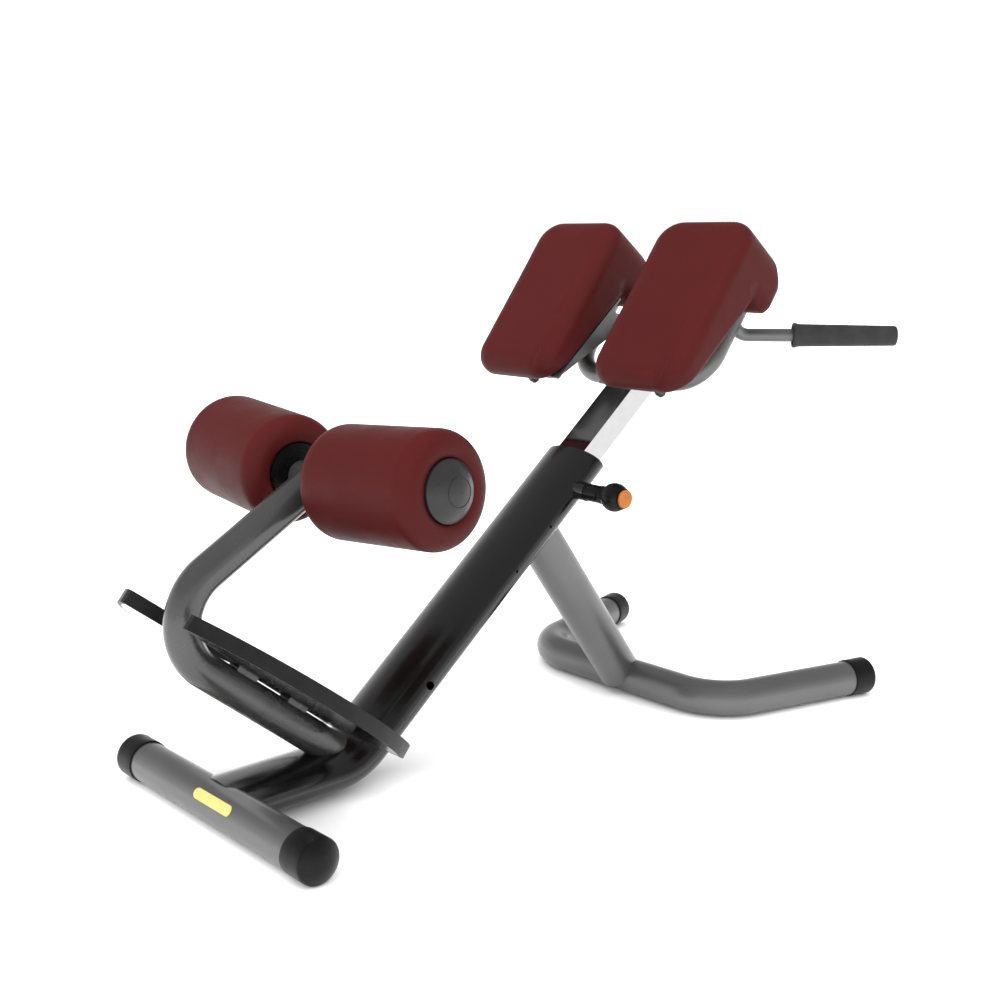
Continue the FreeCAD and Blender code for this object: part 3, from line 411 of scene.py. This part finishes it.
def pad_mesh():
    """The right pad's cushion in the pad frame."""
    outline = [(PAD_LOW, 0.0), (PAD_TOP, 0.0), (PAD_TOP, NOSE_BACK), (NOSE_LOW, NOSE_BACK), BACK_END, BACK_START]
    block = bpy.data.meshes.new("pad")
    count = len(outline)
    corners = [(x, y, z) for y in (-PAD_HALF, PAD_HALF) for x, z in outline]
    sides = [(i, (i + 1) % count, (i + 1) % count + count, i + count) for i in range(count)]
    block.from_pydata(corners, [], [tuple(range(count))[::-1], tuple(range(count, 2 * count))] + sides)
    mesh = evaluated(block, ("REMESH", {"mode": "VOXEL", "voxel_size": 0.005}))
    points = coordinates(mesh)
    for turn in range(14):
        if turn < 10:
            points = relaxed(mesh, points, 1)
        value = pad_field(points) + 0.001
        slope = np.stack([(pad_field(points + step) + 0.001 - value) / 1e-5 for step in np.eye(3) * 1e-5], axis=1)
        points = points - slope * (value / np.maximum((slope ** 2).sum(axis=1), 0.25))[:, None]
    set_coordinates(mesh, points)
    resting = (points[:, 0] < 0.068) & (pad_back_field(points) > -0.030)
    cap = np.where(resting, 0.0035 * smooth_step((-pad_back_field(points) - 0.006) / 0.022), 0.0035)
    swelled(mesh, cap)
    return mesh


def crease(points, start, end, width, depth):
    """Sinks the pad's face along a short line, fading at both ends."""
    line = np.array(end) - np.array(start)
    size = np.linalg.norm(line)
    local = points[:, :2] - np.array(start)
    along = local @ line / size
    across = np.abs(local @ np.array([-line[1], line[0]]) / size)
    fade = smooth_step(along / 0.008 + 1) * smooth_step((size - along) / 0.008 + 1)
    return depth * fade * np.exp(-(across / width) ** 2) * smooth_step((points[:, 2] + 0.030) / 0.02)


def pad_place(node):
    up = Vector((math.cos(PAD_ANGLE), 0, math.sin(PAD_ANGLE)))
    out = Vector((-math.sin(PAD_ANGLE), 0, math.cos(PAD_ANGLE)))
    points = points_of(node)
    low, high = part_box(node)
    origin = up * ((points @ np.array(up)).max() - PAD_TOP) + out * (points @ np.array(out)).max()
    origin.y = (low[1] + high[1]) / 2
    turned = Matrix((up, (0, 1, 0), out)).transposed().to_4x4()
    return Matrix.Translation(origin) @ turned


cushion = evaluated(pad_mesh(), ("SUBSURF", {"levels": 1}))
cushion_points = coordinates(cushion)
cushion_points[:, 2] -= crease(cushion_points, (-0.134, -0.058), (-0.112, -0.060), 0.0045, 0.0022)
cushion_points[:, 2] -= crease(cushion_points, (-0.136, -0.058), (-0.138, 0.052), 0.0060, 0.0012)
set_coordinates(cushion, cushion_points)
for side in ("right", "left"):
    cover = cushion.copy()
    cover.transform(pad_place(f"thigh_pad_{side}"))
    new_piece(f"pad_cover_{side}", cover, "post", "red_vinyl", (f"thigh_pad_{side}",))


# ---------------------------------------------------------------- ankle rollers
def stepped(corners, pitch=0.0045):
    """A profile's corners, with points added along each long run."""
    result = []
    for a, b in zip(corners, corners[1:]):
        steps = max(1, round(math.dist(a, b) / pitch))
        result += [(a[0] + (b[0] - a[0]) * i / steps, a[1] + (b[1] - a[1]) * i / steps) for i in range(steps)]
    return result + [corners[-1]]


HUB = 0.0422
HUB_DEPTH = 0.014
HUB_DOME = 0.020
CORE = 0.0165
joint_of = {joint["name"]: joint for joint in frame["joints"]}


def roller_mesh(length, radius):
    """A foam tube with a pocket for a hub in each end."""
    bend = 0.025
    rim = radius - 0.0015
    end = [(CORE, HUB_DEPTH), (HUB, HUB_DEPTH), (HUB, 0.0040), (HUB + 0.004, 0.0012), (HUB + 0.010, 0.0)]
    end += arc((rim - bend, bend), bend, -90, 0, 9)
    other = [(r, length - h) for r, h in reversed(end)]
    profile = stepped(end + other + [end[0]])
    mesh = lathe(profile[:-1], Matrix.Identity(4), 104, closed=True)
    points = coordinates(mesh)
    reach = np.hypot(points[:, 0], points[:, 1])
    swelled(mesh, 0.0025 * smooth_step((reach - HUB - 0.002) / 0.012))
    return evaluated(mesh, ("SUBSURF", {"levels": 1}))


spin = {side: Vector(joint_of[f"roller_{side}_spin"]["axis"]) for side in ("right", "left")}
place, length, radius = round_about("roller_foam_right", spin["right"])
foam = roller_mesh(length, radius)
foam.transform(place)
for side, cover in (("right", foam), ("left", mirror_mesh(foam))):
    new_piece(f"roller_cover_{side}", cover, f"roller_{side}", "roller_vinyl", (f"roller_foam_{side}",))
    # a thin raised ring round the middle of the outer hub's dome
    place, length, radius = round_about(f"roller_end_cap_{side}", spin[side])
    dome = (radius ** 2 + HUB_DOME ** 2) / (2 * HUB_DOME)
    ring = 0.0195
    height = length - dome + math.sqrt(dome ** 2 - ring ** 2)
    bead = arc((ring, height), 0.0007, 0, 330, 12)
    new_piece(f"hub_ring_{side}", lathe(bead, place, 72, closed=True), f"roller_{side}", "black_plastic", look="ring_plastic")


# ---------------------------------------------------------------- rubber caps, grips and knob
def cap_profile(length, radius):
    """A collar over the tube, a step to a fuller band, and a domed end with a firm edge."""
    tube = radius - 0.0025
    band = radius - 0.0005
    outer = [(tube + 0.0003, 0.0), (tube + 0.0016, 0.0002)] + arc((band - 0.0022, 0.0022), 0.0020, -60, 0, 4)
    outer += [(band - 0.0002, 0.016), (band, 0.030)] + arc((band - 0.006, length - 0.0165), 0.006, 0, 48, 6)
    edge_radius, edge_height = outer[-1]
    rise = length - edge_height
    sphere = (edge_radius ** 2 + rise ** 2) / (2 * rise)
    outer += [(edge_radius - 0.0005, edge_height + 0.0007)]
    outer += [(sphere * math.sin(a), length - sphere + sphere * math.cos(a))
              for a in np.linspace(math.asin((edge_radius - 0.001) / sphere), 0.0, 9)[:-1]]
    return outer + [(0.0, length), (0.0, length - 0.010), (tube, length - 0.024), (tube, 0.001)]


# The rear foot's side tubes run outwards at this angle from the middle plane.
REAR_SPLAY = math.radians(15.8)
for end in ("front", "rear"):
    for side in ("right", "left"):
        node = f"{end}_cap_{side}"
        sign = -1 if side == "right" else 1
        direction = Vector((0, sign, 0))
        if end == "rear":
            direction = Vector((math.cos(REAR_SPLAY), sign * math.sin(REAR_SPLAY), 0))
        place, length, radius = round_about(node, direction)
        mesh = lathe(cap_profile(length, 0.0325), place, 96)
        points = coordinates(mesh)
        points[:, 2] = np.maximum(points[:, 2], 0.0)
        set_coordinates(mesh, points)
        new_piece(f"rubber_{node}", mesh, "frame", "black_rubber", (node,))

for side, sign in (("right", -1), ("left", 1)):
    splay = math.radians(47.0)
    place, length, radius = round_about(f"grip_{side}", (math.cos(splay), sign * math.sin(splay), 0))
    tube = 0.0111
    mouth = [(tube, 0.014), (tube + 0.0052, 0.013), (0.0172, 0.0012), (0.0182, 0.0), (0.0200, 0.0), (0.0208, 0.0010),
             (0.0208, 0.0050), (0.0196, 0.0080)]
    body = stepped([(0.0190, 0.012), (0.0168, length - 0.0055)], 0.008)
    tail = arc((0.0116, length - 0.0052), 0.0052, 0, 90, 7) + [(0.0, length + 0.0004), (0.0, length - 0.007), (tube, length - 0.008)]
    new_piece(f"rubber_grip_{side}", lathe(mouth + body + tail, place, 72, closed=False), "post", "grip_rubber", (f"grip_{side}",))

place, length, radius = round_about("pull_knob", (0, -1, 0))
ball = 0.023
centre = length - 0.020
neck = []
for rib in range(3):
    low = 0.0005 + rib * 0.0042
    neck += [(0.0128, low), (0.0146, low + 0.0009), (0.0146, low + 0.0029), (0.0128, low + 0.0036)]
start = math.degrees(math.asin(0.0150 / ball)) - 90
sphere = [(r, h) for r, h in arc((0, centre), ball, start, 60, 22)]
groove_at = 7
sphere[groove_at:groove_at] = [(sphere[groove_at][0] - 0.0009, sphere[groove_at][1] - 0.0007)]
face = [(0.0166, centre + 0.0186), (0.0152, centre + 0.0186), (0.0152, centre + 0.0165), (0.0052, centre + 0.0165), (0.0052, 0.0005)]
new_piece("ribbed_knob", lathe(neck + sphere + face, place, 72, closed=True), "pin", "black_plastic", ("pull_knob",))
place, length, radius = round_about("knob_disc", (0, -1, 0))
facets = [(0.0, 0.0), (0.0149, 0.0), (0.0149, 0.0032), (0.0138, 0.0040), (0.0120, 0.0034), (0.0, 0.0022)]
disc = lathe(facets, place, 16)
star = new_piece("knob_badge", disc, "pin", "orange_plastic", ("knob_disc",))
for polygon in disc.polygons:
    polygon.use_smooth = False


# ---------------------------------------------------------------- camera, floor and light
camera = bpy.data.objects.new("camera", bpy.data.cameras.new("camera"))
scene.collection.objects.link(camera)
camera.data.lens = 47.62
camera.data.sensor_width = 36.0
camera.location = (-1.4, -1.5172, 0.7964)
camera.rotation_euler = (math.radians(78.756), 0.0, math.radians(-42.561))
scene.camera = camera

floor_mesh = bpy.data.meshes.new("floor")
floor_mesh.from_pydata([(-40, -40, 0), (40, -40, 0), (40, 40, 0), (-40, 40, 0)], [], [(0, 1, 2, 3)])
floor = bpy.data.objects.new("floor", floor_mesh)
scene.collection.objects.link(floor)
floor_look = Shader("floor_look", 0.9, Specular_IOR_Level=0.0)
floor_look.colour((0.92, 0.92, 0.92), (0.95, 0.95, 0.95), floor_look.noise(3.0))
floor_mesh.materials.append(floor_look.material)

# The studio is white round the horizon and dims overhead.
world = bpy.data.worlds.new("studio")
scene.world = world
world.use_nodes = True
world_nodes = world.node_tree.nodes
background = world_nodes["Background"]
direction = world_nodes.new("ShaderNodeTexCoord")
split = world_nodes.new("ShaderNodeSeparateXYZ")
fade = world_nodes.new("ShaderNodeMapRange")
fade.interpolation_type = "SMOOTHSTEP"
for socket, value in (("From Min", 0.18), ("From Max", 0.60), ("To Min", 1.15), ("To Max", 0.40)):
    fade.inputs[socket].default_value = value
world.node_tree.links.new(direction.outputs["Generated"], split.inputs["Vector"])
world.node_tree.links.new(split.outputs["Z"], fade.inputs["Value"])
world.node_tree.links.new(fade.outputs["Result"], background.inputs["Strength"])
background.inputs["Color"].default_value = (1.0, 1.0, 1.0, 1.0)
scene.view_settings.view_transform = "Standard"


def soft_sun(name, direction, strength):
    """A very broad sun that lights surfaces without showing in their reflections."""
    light = bpy.data.objects.new(name, bpy.data.lights.new(name, "SUN"))
    scene.collection.objects.link(light)
    light.data.angle = math.radians(110.0)
    light.data.energy = strength
    light.rotation_euler = Vector(direction).to_track_quat("-Z", "Y").to_euler()
    light.visible_glossy = False


soft_sun("overhead", (0.35, 0.25, -1.0), 5.6)
